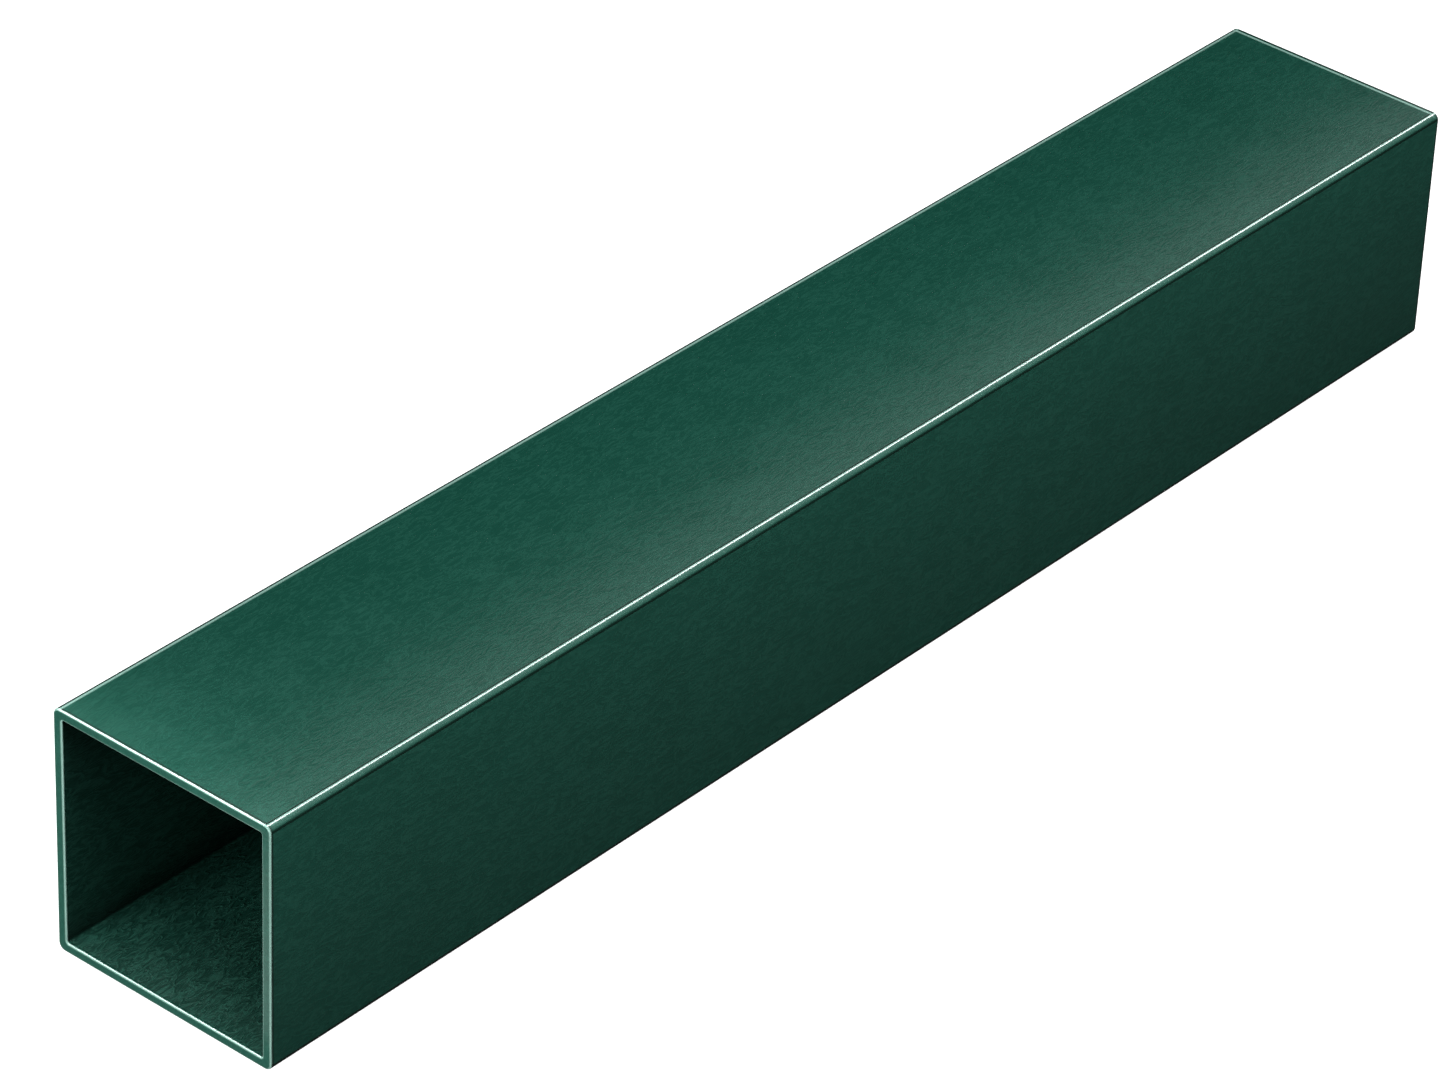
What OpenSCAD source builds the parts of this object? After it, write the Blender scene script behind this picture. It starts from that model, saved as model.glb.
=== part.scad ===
// Square hollow post, extruded from aluminium in one piece and coated all over.
// It lies on one of its sides: X runs along its length, Z is up, and the origin is
// under its middle, on the surface that it lies on. Sizes are in millimetres.

/* [Section] */
// Outside width and height of the square section
side = 50; // [30:1:120]
// Thickness of the four walls
wall = 2; // [1.4:0.1:4]
// Radius of the four outside corners, along the whole length
outer_corner_r = 1.5; // [1:0.1:4]
// Radius of the four inside corners, along the whole length
inner_corner_r = 0.5; // [0.3:0.1:3]

/* [Ends] */
// Length from one sawn end to the other
post_length = 325; // [80:1:3000]
// Rounding of the outside edge of each sawn end
outer_lip_r = 0.4; // [0.1:0.05:0.8]
// Rounding of the inside edge of each sawn end
inner_lip_r = 0.4; // [0.1:0.05:0.8]

/* [Hidden] */
$fn = 64;

// Clear width of the hollow between two opposite walls
bore_side = side - 2 * wall;
// How far the shape that cuts the hollow runs past each sawn end
past_end = 1;

// Flat outline of the bar seen from one side: a rectangle with its four corners rounded
module bar_outline(width) {
    for (x = [-1, 1], y = [-1, 1])
        translate([x * (width / 2 - outer_lip_r), y * (post_length / 2 - outer_lip_r)])
            circle(outer_lip_r);
    square([width - 2 * outer_lip_r, post_length], center = true);
    square([width, post_length - 2 * outer_lip_r], center = true);
}

// Flat outline of the hollow seen from one side: straight, and at each end it opens
// along a quarter circle, which leaves a rounded lip on the wall
module hollow_outline(width) {
    square([width, post_length + 2 * past_end], center = true);
    for (end = [0, 1])
        mirror([0, end])
            translate([0, post_length / 2 - inner_lip_r])
                difference() {
                    translate([-width / 2 - inner_lip_r, 0])
                        square([width + 2 * inner_lip_r, inner_lip_r + past_end]);
                    for (x = [-1, 1])
                        translate([x * (width / 2 + inner_lip_r), 0])
                            circle(inner_lip_r);
                }
}

// Outline of one of the two shapes that the post is made from
module outline(width, is_hollow) {
    if (is_hollow)
        hollow_outline(width);
    else
        bar_outline(width);
}

// Upright shape of the given width with round corners: two slabs that cross each other
// and a turned column in each corner, all with the same outline, so that the rounding
// of the ends follows the section round every corner
module upright_shape(width, corner_r, is_hollow) {
    flat = width - 2 * corner_r;
    for (turn = [0, 90])
        rotate([90, 0, turn])
            linear_extrude(flat, center = true)
                outline(width, is_hollow);
    for (x = [-1, 1], y = [-1, 1])
        translate([x * flat / 2, y * flat / 2, 0])
            rotate_extrude()
                intersection() {
                    outline(2 * corner_r, is_hollow);
                    translate([0, -post_length])
                        square([side, 2 * post_length]);
                }
}

// The post: the bar with its hollow taken out, laid down along X
module post() {
    color("#174a3b")
        translate([0, 0, side / 2])
            rotate([0, 90, 0])
                difference() {
                    upright_shape(side, outer_corner_r, is_hollow = false);
                    upright_shape(bore_side, inner_corner_r, is_hollow = true);
                }
}

post();
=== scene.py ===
# %% [markdown]
# # A green square post
# The part is one length of hollow square aluminium tube, extruded, sawn square at both ends and
# powder coated green inside and out. It lies on its side on a pale floor. The frame that the
# solid model gives is loaded first, because every size below is read from it or measured
# against it.

# %% Load the frame
import math

import bpy
import numpy as np
from mathutils import Matrix, Vector


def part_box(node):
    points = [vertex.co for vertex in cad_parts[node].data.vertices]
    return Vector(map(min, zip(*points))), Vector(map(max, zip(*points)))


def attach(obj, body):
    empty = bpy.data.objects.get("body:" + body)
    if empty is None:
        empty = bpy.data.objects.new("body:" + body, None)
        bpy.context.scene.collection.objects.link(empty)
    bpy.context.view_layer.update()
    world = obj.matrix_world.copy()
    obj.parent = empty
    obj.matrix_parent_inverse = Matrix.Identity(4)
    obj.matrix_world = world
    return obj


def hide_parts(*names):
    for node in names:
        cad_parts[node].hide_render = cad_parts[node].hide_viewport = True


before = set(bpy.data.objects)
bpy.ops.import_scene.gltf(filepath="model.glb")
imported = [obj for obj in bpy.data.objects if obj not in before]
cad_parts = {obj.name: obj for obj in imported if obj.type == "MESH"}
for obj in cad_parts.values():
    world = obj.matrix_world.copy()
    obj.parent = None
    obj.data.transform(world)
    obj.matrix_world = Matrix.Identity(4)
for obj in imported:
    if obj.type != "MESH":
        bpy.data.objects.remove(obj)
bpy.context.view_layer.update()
MM = 0.001

# %% [markdown]
# ## The post's skin
# Seen close by, the post is all edges: four long corners of 1.5 mm, and at each end a thin rim
# with a small rounded lip outside and inside. Those narrow curves catch the light, so they need
# many fine steps and true normals, which a coarse mesh of the solid doesn't have.
#
# The tube could be a modelled box with bevels. Here it is one closed surface on a grid instead.
# One parameter goes once round the section. The other goes along the outside, over the far rim,
# back along the inside and over the near rim to where it began, so there is no seam and no pole.

# %% Sizes of the section and its ends
post_low, post_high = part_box("post")
length = post_high.x - post_low.x
side = post_high.z - post_low.z
wall = 2.0 * MM
outer_corner_r = 1.5 * MM
inner_corner_r = 0.5 * MM
lip_r = 0.4 * MM
print("post:", round(length / MM, 1), "mm long,", round(side / MM, 1), "mm square")


# %% Once round the section
def round_the_section(corner_steps, side_steps, tight):
    """Goes once round a square with round corners and returns two arrays of directions.
    Any such square is then the points reach * S + radius * N. S points to the corner circles'
    centres, at (1, 1), (-1, 1), (-1, -1) and (1, -1), and N is the outward normal. In a corner
    S stays and N turns by a quarter. Along a side N stays and S slides to the next corner.
    A third array is the bend, 0 on the flats and rising evenly to 1 in the middle of a corner.
    The shares in tight put extra steps on the flats, close beside each corner."""
    turn = np.linspace(0.0, 0.5 * np.pi, corner_steps + 1)
    slide = np.r_[tight, np.linspace(0.0, 1.0, side_steps + 1)[1:-1], 1.0 - tight[::-1]]
    starts = 0.5 * np.pi * np.arange(4)[:, None]
    here = np.sqrt(2.0) * np.exp(1j * (starts + 0.25 * np.pi))
    there = here * 1j
    corner_s = np.repeat(here, turn.size, axis=1)
    corner_n = np.exp(1j * (starts + turn[None, :]))
    side_s = here + (there - here) * slide[None, :]
    side_n = np.repeat(np.exp(1j * (starts + 0.5 * np.pi)), slide.size, axis=1)
    corner_bend = np.repeat(1.0 - np.abs(turn[None, :] / (0.25 * np.pi) - 1.0), 4, axis=0)
    directions = np.hstack([corner_s, side_s]), np.hstack([corner_n, side_n])
    bend = np.hstack([corner_bend, np.zeros_like(side_n.real)])
    return *(part.ravel() for part in directions), bend.ravel()


# %% Once over the wall
def over_the_wall(lip_steps, length_steps, tight):
    """Goes along the outside, over the far rim, back inside and over the near rim. Returns, for
    each step, the place along X and the reach and the radius of the ring there, and three marks:
    1 outside, 1 inside, and 1 in the middle of a lip. The flats of the rims have none of them.
    A lip is a quarter circle: the ring moves in by r(1 - sin a) while X moves by r(1 - cos a).
    The shares in tight put extra steps on the flats, close beside each lip."""
    angle = np.linspace(0.0, 0.5 * np.pi, lip_steps + 1)
    from_end = lip_r * (1.0 - np.cos(angle))
    inset = lip_r * (1.0 - np.sin(angle))
    share = np.r_[tight, np.linspace(0.0, 1.0, length_steps + 1)[1:-1], 1.0 - tight[::-1]]
    straight = lip_r + (length - 2.0 * lip_r) * share
    half_x = np.r_[from_end, straight, length - from_end[::-1]] - 0.5 * length
    half_inset = np.r_[inset, np.zeros_like(straight), inset[::-1]]
    outer_reach = np.full_like(half_x, 0.5 * side - outer_corner_r)
    inner_reach = np.full_like(half_x, 0.5 * side - wall - inner_corner_r)
    x = np.r_[half_x, half_x[::-1]]
    reach = np.r_[outer_reach, inner_reach]
    radius = np.r_[outer_corner_r - half_inset, (inner_corner_r + half_inset)[::-1]]
    clear = 1.0 - half_inset / lip_r
    outside = np.r_[clear, np.zeros_like(clear)]
    quarter = angle / (0.5 * np.pi)
    over_lip = np.interp(quarter, (0.0, 0.25, 0.5, 0.8, 1.0), (0.0, 0.5, 1.0, 0.6, 0.0))
    half_lip = np.r_[over_lip, np.zeros_like(straight), over_lip[::-1]]
    return x, reach, radius, outside, outside[::-1], np.r_[half_lip, half_lip[::-1]]


# %% The grid as a mesh
def grid_mesh(name, points, closed_rows, closed_columns):
    """Makes a mesh of quads from an array of points, rows by columns by 3. A closed direction
    joins its last line to its first."""
    rows, columns = points.shape[:2]
    number = np.arange(rows * columns).reshape(rows, columns)
    if closed_rows:
        number = np.vstack([number, number[:1]])
    if closed_columns:
        number = np.hstack([number, number[:, :1]])
    corners = [number[:-1, :-1], number[:-1, 1:], number[1:, 1:], number[1:, :-1]]
    quads = np.stack(corners, axis=-1).reshape(-1, 4)
    mesh = bpy.data.meshes.new(name)
    mesh.from_pydata(points.reshape(-1, 3), [], quads)
    mesh.polygons.foreach_set("use_smooth", np.ones(len(quads), dtype=bool))
    mesh.update()
    return mesh


# %% Put the post together
ring_s, ring_n, ring_bend = round_the_section(
    corner_steps=16, side_steps=8, tight=np.array([0.004, 0.0075, 0.03]))
wall_x, wall_reach, wall_radius, wall_outside, wall_inside, wall_lip = over_the_wall(
    lip_steps=8, length_steps=40, tight=np.array([0.0006, 0.0013, 0.0021, 0.0029, 0.0037, 0.006]))
section = wall_reach[:, None] * ring_s[None, :] + wall_radius[:, None] * ring_n[None, :]
along = np.repeat(wall_x[:, None], ring_s.size, axis=1)
post_points = np.stack([along, section.real, section.imag + 0.5 * side], axis=-1)

post_mesh = grid_mesh("post_skin", post_points, closed_rows=True, closed_columns=True)
post = bpy.data.objects.new("post_skin", post_mesh)
bpy.context.scene.collection.objects.link(post)
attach(post, "root")
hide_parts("post")
print("post skin:", len(post_mesh.polygons), "quads")

# %% [markdown]
# ## Where the coat differs, and where light and shade are painted
# A powder coat isn't the same all over, and part of its light and shade is painted into its
# colour. The lips are pale, partly as thin coat where the melt draws back from a sharp lip and
# partly as a painted highlight, and painted highlights run as pale lines along the upper edges.
# Beside each lip, and where the round of a corner runs out into the flat, lies a narrow dark hem
# of painted shade. On the curves the coat is drawn tight and smooth. The upright walls of the
# hollow are painted dark as shade, most of all along their feet and under the ceiling.
#
# That could be painted by hand. Here each point of the skin gets five numbers from 0 to 1
# instead, worked out from where it lies on the grid, and the material reads them by name.


# %% Places on the skin
def band(distance, edges, height):
    """Strength of a stripe across a distance: 0 up to the first edge, rising to its height at
    the second, level to the third, and falling to 0 at the fourth."""
    return np.interp(distance, edges, (0.0, height, height, 0.0))


outside, inside, lip = (mark[:, None] for mark in (wall_outside, wall_inside, wall_lip))
facing_y, facing_z = np.abs(ring_n.real), np.clip(ring_n.imag, 0.0, 1.0)
outer_ring, bore_ring = section[wall_outside == 1.0][0], section[wall_inside == 1.0][0]
half_bore = 0.5 * side - wall
# These four distances are in millimetres.
from_lip = (0.5 * length - lip_r - np.abs(wall_x))[:, None] / MM
from_back = np.where(outer_ring.imag > 0.0, 0.5 * side - outer_ring.real, side) / MM
from_floor, from_ceiling = (half_bore + bore_ring.imag) / MM, (half_bore - bore_ring.imag) / MM
print("hollow:", round(2.0 * half_bore / MM, 1), "mm square")

# %% Dark hems of painted shade
# Painted shade: a dark band where a corner's round runs out into the flat, and beside each lip.
run_out_shade = band(ring_bend, (0.0, 0.12, 0.45, 0.65), 1.0)
lip_shade = np.interp(from_lip, (0.0, 0.2, 0.42), (1.0, 0.8, 0.0))
painted_shade_hem = outside * np.maximum(run_out_shade, lip_shade)
print("hems on", int((painted_shade_hem > 0.5).sum()), "points")

# %% Pale lips, partly thin coat and partly painted highlight, and painted highlights on the upper edges
# The crown is the middle of an upper corner, painted paler as a sheen. Painted highlight lines run
# along the front ridge, just inside the top's back edge and just inside its far edge, strongest
# where the skin faces up.
crown_sheen = np.interp(ring_bend, (0.45, 0.65), (0.0, 0.25)) * facing_z ** 2
ridge_highlight = band(ring_bend, (0.25, 0.32, 0.5, 0.6), 1.0) * facing_z ** 4 * (outer_ring.real < 0.0)
back_edge_highlight = band(from_back, (1.15, 1.35, 1.6, 1.8), 0.9)
far_edge_highlight = band(from_lip, (0.42, 0.68, 0.94, 1.2), 0.9) * (wall_x > 0.0)[:, None] * facing_z ** 4
painted_edge_highlights = np.maximum(np.maximum(crown_sheen, ridge_highlight), np.maximum(back_edge_highlight, far_edge_highlight))
pale_lips_and_highlights = 1.0 - (1.0 - lip) * (1.0 - outside * painted_edge_highlights)
print("thin coat on", int((pale_lips_and_highlights > 0.5).sum()), "points")

# %% Tight smooth coat on the curves, and painted shade on the walls inside
curve = np.interp(ring_bend, (0.0, 0.20), (0.0, 1.0))
inner_edge = np.interp(from_lip, (0.0, 0.42), (1.0, 0.0))
tight = 1.0 - (1.0 - lip) * (1.0 - outside * curve) * (1.0 - inside * inner_edge)
# Painted shade: the upright walls of the hollow are darkened, most of all at their feet and under
# the ceiling.
FOOT_MM, CEILING_MM, WALL_SHADE_SHARE = 3.5, 8.0, 0.34
corner_shade = np.maximum(np.exp(-from_floor / FOOT_MM), np.exp(-from_ceiling / CEILING_MM))
painted_hollow_shade = inside * facing_y ** 3 * (WALL_SHADE_SHARE + (1.0 - WALL_SHADE_SHARE) * corner_shade)

marks = {
    "inside": np.repeat(inside, ring_bend.size, axis=1),
    "painted_shade_hem": painted_shade_hem,
    "pale_lips_and_highlights": pale_lips_and_highlights,
    "tight": tight,
    "painted_hollow_shade": painted_hollow_shade,
}
for mark, values in marks.items():
    attribute = post_mesh.attributes.new(mark, "FLOAT", "POINT")
    attribute.data.foreach_set("value", values.ravel().astype(np.float32))
print("marks:", ", ".join(marks))

# %% [markdown]
# ## The powder coat
# Polyester powder is sprayed on dry and baked, and melts into a skin about a tenth of a
# millimetre thick. Here it is a satin moss green. Up close it isn't quite even: the colour clouds
# a little from place to place, and the melt sets in fine wavy strokes, drawn out along the post.
# Outside they hardly show. In the hollow, where the spray barely reaches, they are wrinkles.
#
# An image could carry that, but a few noise patterns made from real sizes stay sharp at every
# distance. One noise makes the clouds. A second one, stretched along the post, makes the
# strokes: they lie where it crosses its middle value, which is a thin wavy line.


# %% Colours and nodes
def linear(code):
    """Turns an sRGB colour such as #1d4f40 into linear red, green and blue, with alpha 1."""
    parts = np.array([int(code[i:i + 2], 16) for i in (1, 3, 5)]) / 255.0
    low, high = parts / 12.92, ((parts + 0.055) / 1.055) ** 2.4
    return (*np.where(parts <= 0.04045, low, high).tolist(), 1.0)


def grey(level):
    """A linear grey, with alpha 1."""
    return (level, level, level, 1.0)


def add(tree, kind, sockets=None, **settings):
    """Adds a node. Settings are its own properties. Sockets are its inputs, by name or number:
    an output of another node is linked, and anything else is set as the socket's value."""
    node = tree.nodes.new(kind)
    for name, value in settings.items():
        setattr(node, name, value)
    for name, value in (sockets or {}).items():
        if isinstance(value, bpy.types.NodeSocket):
            tree.links.new(value, node.inputs[name])
        else:
            node.inputs[name].default_value = value
    return node


def per(size_mm):
    """Scale of a pattern whose features repeat about every size_mm millimetres."""
    return 1.0 / (size_mm * MM)


# %% Satin powder coat, moss green: its patterns
coat = bpy.data.materials.new("satin_powder_coat_moss_green")
coat.use_nodes = True
nodes = coat.node_tree
nodes.nodes.clear()
place = add(nodes, "ShaderNodeTexCoord").outputs["Object"]
inside_mark, painted_shade_mark, pale_lip_and_highlight_mark, tight_mark, hollow_shade_mark = (
    add(nodes, "ShaderNodeAttribute", attribute_name=mark).outputs["Fac"] for mark in marks)

CLOUD_MM = 9.0
STROKE_LONG_MM, STROKE_WIDE_MM = 4.0, 1.2
clouds = add(nodes, "ShaderNodeTexNoise", {
    "Vector": place, "Scale": per(CLOUD_MM), "Detail": 3.0, "Roughness": 0.6}).outputs["Fac"]
drawn = add(nodes, "ShaderNodeMapping", {
    "Vector": place,
    "Scale": (per(STROKE_LONG_MM), per(STROKE_WIDE_MM), per(STROKE_WIDE_MM))}).outputs["Vector"]
waves = add(nodes, "ShaderNodeTexNoise", {
    "Vector": drawn, "Scale": 1.0, "Detail": 2.0, "Distortion": 1.2}).outputs["Fac"]
off_middle = add(nodes, "ShaderNodeMath", {
    0: add(nodes, "ShaderNodeMath", {0: waves, 1: 0.5}, operation="SUBTRACT").outputs[0]},
    operation="ABSOLUTE").outputs[0]
# A narrow band about the middle value is the stroke, and a wide one is the wrinkle under it.
strokes = add(nodes, "ShaderNodeMapRange", {
    "Value": off_middle, "From Min": 0.0, "From Max": 0.07,
    "To Min": 1.0, "To Max": 0.0}).outputs["Result"]
wrinkles = add(nodes, "ShaderNodeMapRange", {
    "Value": off_middle, "From Min": 0.0, "From Max": 0.20,
    "To Min": 1.0, "To Max": 0.0}).outputs["Result"]

# %% Its colours
# The green is a deep one, so the eye reads the coat mostly by its pale lines: the strokes are a
# little greyer than the ground, and the pale lips and the painted highlights on the upper edges
# are nearly grey.
cloudy = add(nodes, "ShaderNodeMix", {
    "Factor": add(nodes, "ShaderNodeMapRange", {
        "Value": clouds, "From Min": 0.3, "From Max": 0.7}).outputs["Result"],
    "A": linear("#0B3F33"), "B": linear("#0D4337")}, data_type="RGBA").outputs["Result"]
streaky = add(nodes, "ShaderNodeMix", {
    "Factor": strokes,
    "A": linear("#12392F"), "B": linear("#29584B")}, data_type="RGBA").outputs["Result"]
coated = add(nodes, "ShaderNodeMix", {
    "Factor": add(nodes, "ShaderNodeMapRange", {
        "Value": inside_mark, "To Min": 0.32, "To Max": 0.9}).outputs["Result"],
    "A": cloudy, "B": streaky}, data_type="RGBA").outputs["Result"]
# Painted shade: the upright walls of the hollow go nearly black.
with_hollow_shade = add(nodes, "ShaderNodeMix", {
    "Factor": hollow_shade_mark, "A": coated, "B": linear("#020A07")}, data_type="RGBA").outputs["Result"]
# Painted shade: a dark hem beside each lip and where a corner's round meets the flat.
with_hem_shade = add(nodes, "ShaderNodeMix", {
    "Factor": painted_shade_mark, "A": with_hollow_shade, "B": linear("#041B14")}, data_type="RGBA").outputs["Result"]
# Painted highlight: pale lines on the upper edges. On the lips it stands partly for thin coat and
# partly for a highlight.
with_pale_lips_and_highlights = add(nodes, "ShaderNodeMix", {
    "Factor": pale_lip_and_highlight_mark, "A": with_hem_shade, "B": linear("#86ABA0")}, data_type="RGBA").outputs["Result"]

# %% Its gloss and relief
# A baked polyester skin has an IOR of about 1.5. Satin flattens what it mirrors into a soft
# sheen, and only the tight coat on the curves gives a sharp glint.
satin = add(nodes, "ShaderNodeMapRange", {
    "Value": clouds, "From Min": 0.3, "From Max": 0.7, "To Min": 0.28, "To Max": 0.33})
gloss = add(nodes, "ShaderNodeMix", {
    "Factor": tight_mark, "A": satin.outputs["Result"], "B": 0.15}, data_type="FLOAT")
depth = add(nodes, "ShaderNodeMapRange", {"Value": inside_mark, "To Min": 0.10, "To Max": 0.30})
slack = add(nodes, "ShaderNodeMapRange", {"Value": tight_mark, "To Min": 1.0, "To Max": 0.0})
relief = add(nodes, "ShaderNodeBump", {
    "Height": wrinkles, "Distance": 0.30 * MM, "Strength": add(nodes, "ShaderNodeMath", {
        0: depth.outputs["Result"], 1: slack.outputs["Result"]}, operation="MULTIPLY").outputs[0]})
skin = add(nodes, "ShaderNodeBsdfPrincipled", {
    "Base Color": with_pale_lips_and_highlights, "Roughness": gloss.outputs["Result"],
    "IOR": 1.5, "Normal": relief.outputs["Normal"]})
add(nodes, "ShaderNodeOutputMaterial", {"Surface": skin.outputs["BSDF"]})
post_mesh.materials.append(coat)
print("coat:", coat.name, "with", len(nodes.nodes), "nodes")

# %% [markdown]
# ## Floor and background
# The post lies on a plain white floor that runs out of the picture. The camera sees the floor a
# little brighter than the lamps make it, so that it stays white and still keeps a soft shadow
# under the post. The light that it throws back is weak, as off a grey floor in a dim studio:
# white all round would lay a pale veil over the dark satin coat, and the real post shows none.
# For the same reason a glossy ray gets only a small share of the white.

# %% How much of the white each ray sees
GLOSSY_SHARE = 0.01


def background_share(tree):
    """1 for a camera or transmission ray, GLOSSY_SHARE for a glossy one and 0 for the rest."""
    path = add(tree, "ShaderNodeLightPath").outputs
    mirrored = add(tree, "ShaderNodeMath", {
        0: path["Is Glossy Ray"], 1: GLOSSY_SHARE}, operation="MULTIPLY").outputs[0]
    direct = add(tree, "ShaderNodeMath", {
        0: path["Is Camera Ray"], 1: path["Is Transmission Ray"]}, operation="MAXIMUM").outputs[0]
    return add(tree, "ShaderNodeMath", {0: direct, 1: mirrored}, operation="MAXIMUM").outputs[0]


# %% Floor
FLOOR_HALF = 3.0
FLOOR_Z = -0.1 * MM
FLOOR_WHITE, FLOOR_LIFT, FLOOR_BOUNCE = 0.6, 0.88, 0.03
corner = np.array([-FLOOR_HALF, FLOOR_HALF])
floor_x, floor_y = np.meshgrid(corner, corner, indexing="xy")
floor_points = np.stack([floor_x, floor_y, np.full_like(floor_x, FLOOR_Z)], axis=-1)
floor = bpy.data.objects.new("floor", grid_mesh("floor", floor_points, False, False))
bpy.context.scene.collection.objects.link(floor)

floor_paint = bpy.data.materials.new("white_floor")
floor_paint.use_nodes = True
nodes = floor_paint.node_tree
nodes.nodes.clear()
seen = background_share(nodes)
lit = add(nodes, "ShaderNodeBsdfDiffuse", {"Color": grey(FLOOR_WHITE)})
lift = add(nodes, "ShaderNodeEmission", {"Strength": FLOOR_LIFT})
white = add(nodes, "ShaderNodeAddShader", {0: lit.outputs[0], 1: lift.outputs[0]})
bounce = add(nodes, "ShaderNodeBsdfDiffuse", {"Color": grey(FLOOR_BOUNCE)})
both = add(nodes, "ShaderNodeMixShader", {
    0: seen, 1: bounce.outputs[0], 2: white.outputs[0]})
add(nodes, "ShaderNodeOutputMaterial", {"Surface": both.outputs[0]})
floor.data.materials.append(floor_paint)
print("floor:", 2.0 * FLOOR_HALF, "m square")

# %% World
SKY_BOUNCE = 0.012
world = bpy.data.worlds.new("studio")
bpy.context.scene.world = world
world.use_nodes = True
nodes = world.node_tree
nodes.nodes.clear()
seen = background_share(nodes)
sky = add(nodes, "ShaderNodeMix", {
    "Factor": seen, "A": grey(SKY_BOUNCE), "B": grey(1.0)}, data_type="RGBA")
glow = add(nodes, "ShaderNodeBackground", {"Color": sky.outputs["Result"], "Strength": 1.0})
add(nodes, "ShaderNodeOutputWorld", {"Surface": glow.outputs[0]})

# %% [markdown]
# ## Light
# A large soft box over the post gives its top an even light. Smaller boxes and strips reach what
# it leaves dark: the near end, the mouth of the hollow, the front side and the back. In the
# gloss they would be hard patches, so they light the coat without showing in it. Only the narrow
# strip above the near end does both: it lights the upper lip and shows in it as a bright line.
#
# Cards do the opposite. They are the pale boards that are held just outside a picture, and they
# show only as reflections. Here they draw the bright lines on the ridge and the lips and brighten
# the rim, and a dim one lays a soft sheen on the top beside the ridge.


# %% Lamps
def lamp(name, centre, facing, along_axis, size, radiance, matt=True, gloss=True):
    """Adds a rectangular lamp. Its long side lies along along_axis and it shines towards facing.
    Its power in watts is pi times its area times its radiance. A lamp can be left out of matt
    or of glossy surfaces, as a card is that only shows as a reflection."""
    light = bpy.data.lights.new(name, "AREA")
    light.shape = "RECTANGLE"
    light.size, light.size_y = size
    light.energy = math.pi * size[0] * size[1] * radiance
    back = -Vector(facing).normalized()
    across = back.cross(Vector(along_axis)).normalized()
    turned = Matrix((across.cross(back), across, back)).transposed().to_4x4()
    item = bpy.data.objects.new(name, light)
    item.matrix_world = Matrix.Translation(Vector(centre)) @ turned
    item.visible_camera = False
    item.visible_diffuse = matt
    item.visible_glossy = gloss
    bpy.context.scene.collection.objects.link(item)


DOWN, UP, ALONG_X, ALONG_Y = (0, 0, -1), (0, 0, 1), (1, 0, 0), (0, 1, 0)
near_x = -0.5 * length

# %% Boxes and strips
lamp("end_strip", (near_x - 0.0025, 0.0, 0.070), DOWN, ALONG_Y, (0.07, 0.004), 8.6)
for name, centre, facing, along_axis, size, radiance in (
    ("top_box", (-0.06, -0.12, 0.85), (0.06, 0.12, -0.82), ALONG_X, (0.9, 0.5), 5.6),
    ("near_box", (-0.60, 0.10, 0.18), (0.44, -0.10, -0.15), ALONG_Y, (0.3, 0.3), 3.5),
    ("low_box", (-0.60, 0.10, 0.06), (0.44, -0.10, -0.04), ALONG_Y, (0.3, 0.1), 27.5),
    ("mouth_fill", (near_x - 0.06, -0.05, 0.02), (0.06, 0.04, 0.0), ALONG_Y, (0.02, 0.02), 8.0),
    ("mouth_strip", (near_x - 0.03, 0.0, 0.080), (0.04, 0.0, -0.06), ALONG_Y, (0.04, 0.01), 3.0),
    ("side_strip", (0.0, -0.10, 0.10), (0.0, 0.075, -0.055), ALONG_X, (0.45, 0.01), 16.7),
    ("back_box", (0.55, 0.55, 0.09), (-1, -1, -0.05), (1, -1, 0), (0.6, 0.16), 18.0),
):
    lamp(name, centre, facing, along_axis, size, radiance, gloss=False)

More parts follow.
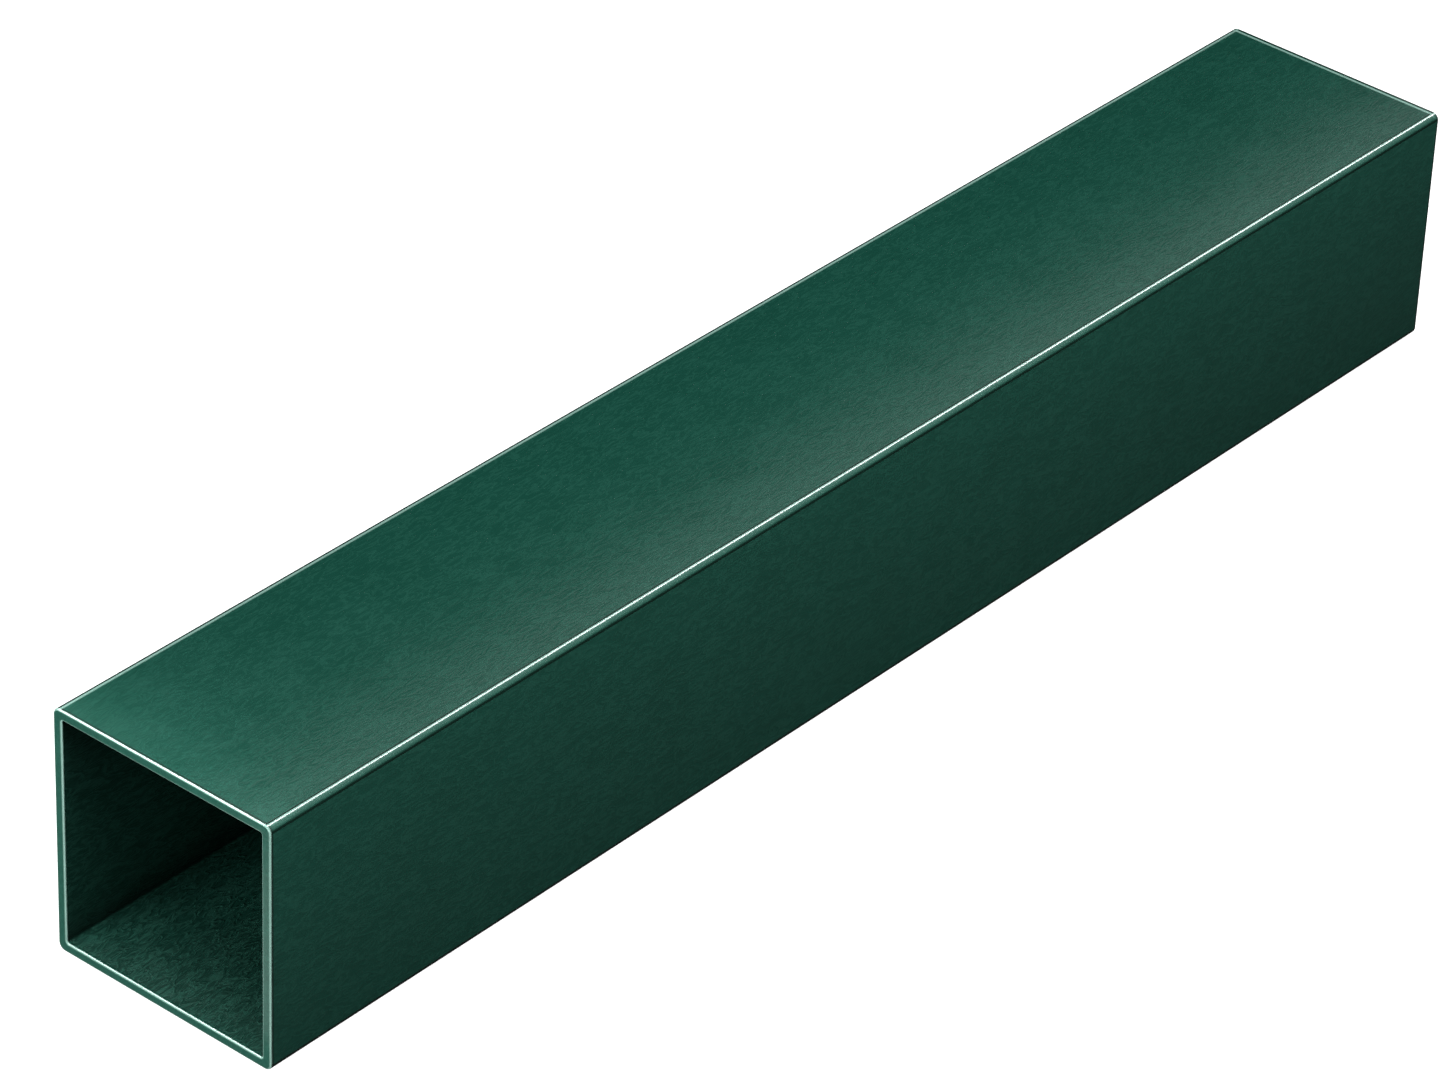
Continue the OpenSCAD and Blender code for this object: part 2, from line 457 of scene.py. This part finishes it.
# %% Cards
for name, centre, facing, along_axis, size, radiance in (
    ("ridge_card", (0.036, -0.0285, 0.090), DOWN, ALONG_X, (0.42, 0.009), 24.0),
    ("sheen_card", (0.047, 0.010, 0.091), DOWN, ALONG_X, (0.40, 0.014), 1.1),
    ("near_card", (near_x - 0.022, 0.045, 0.090), DOWN, ALONG_Y, (0.09, 0.05), 23.0),
    ("lip_card", (near_x - 0.09, 0.088, 0.090), DOWN, ALONG_Y, (0.14, 0.08), 9.0),
    ("rim_card", (near_x - 0.030, -0.008, 0.0), UP, ALONG_Y, (0.056, 0.048), 0.94),
    ("floor_card", (near_x - 0.0355, 0.015, 0.0), UP, ALONG_Y, (0.13, 0.071), 0.17),
):
    lamp(name, centre, facing, along_axis, size, radiance, matt=False)
print("lamps:", len(bpy.data.lights))

# %% [markdown]
# ## Camera
# The picture was taken from above the near end with a long lens. Seven corners of the post were
# read from it, and the angles, the distance and the lens below are the fit of a square post to
# them. The fit is a compromise: in the picture the near end is a little wider, and the far end
# narrower, than any one camera can show them.

# %% Camera
AZIMUTH, ELEVATION, ROLL = (math.radians(x) for x in (-50.654, 33.389, 2.491))
DISTANCE, SLIDE_RIGHT, SLIDE_UP = 1.1844, -0.01282, -0.00721
back = Vector((
    math.sin(AZIMUTH) * math.cos(ELEVATION),
    -math.cos(AZIMUTH) * math.cos(ELEVATION),
    math.sin(ELEVATION)))
level = Vector((math.cos(AZIMUTH), math.sin(AZIMUTH), 0.0))
upright = back.cross(level)
right = math.cos(ROLL) * level + math.sin(ROLL) * upright
up = math.cos(ROLL) * upright - math.sin(ROLL) * level
eye = Vector((0.0, 0.0, 0.5 * side)) + DISTANCE * back + SLIDE_RIGHT * right + SLIDE_UP * up

SENSOR_MM, LENS_MM = 36.0, 162.067
camera_data = bpy.data.cameras.new("camera")
camera_data.sensor_width = SENSOR_MM
camera_data.lens = LENS_MM
camera = bpy.data.objects.new("camera", camera_data)
camera.matrix_world = Matrix.Translation(eye) @ Matrix((right, up, back)).transposed().to_4x4()
bpy.context.scene.collection.objects.link(camera)
bpy.context.scene.camera = camera
bpy.context.scene.view_settings.view_transform = "Standard"
print("camera at", [round(x, 3) for x in eye])
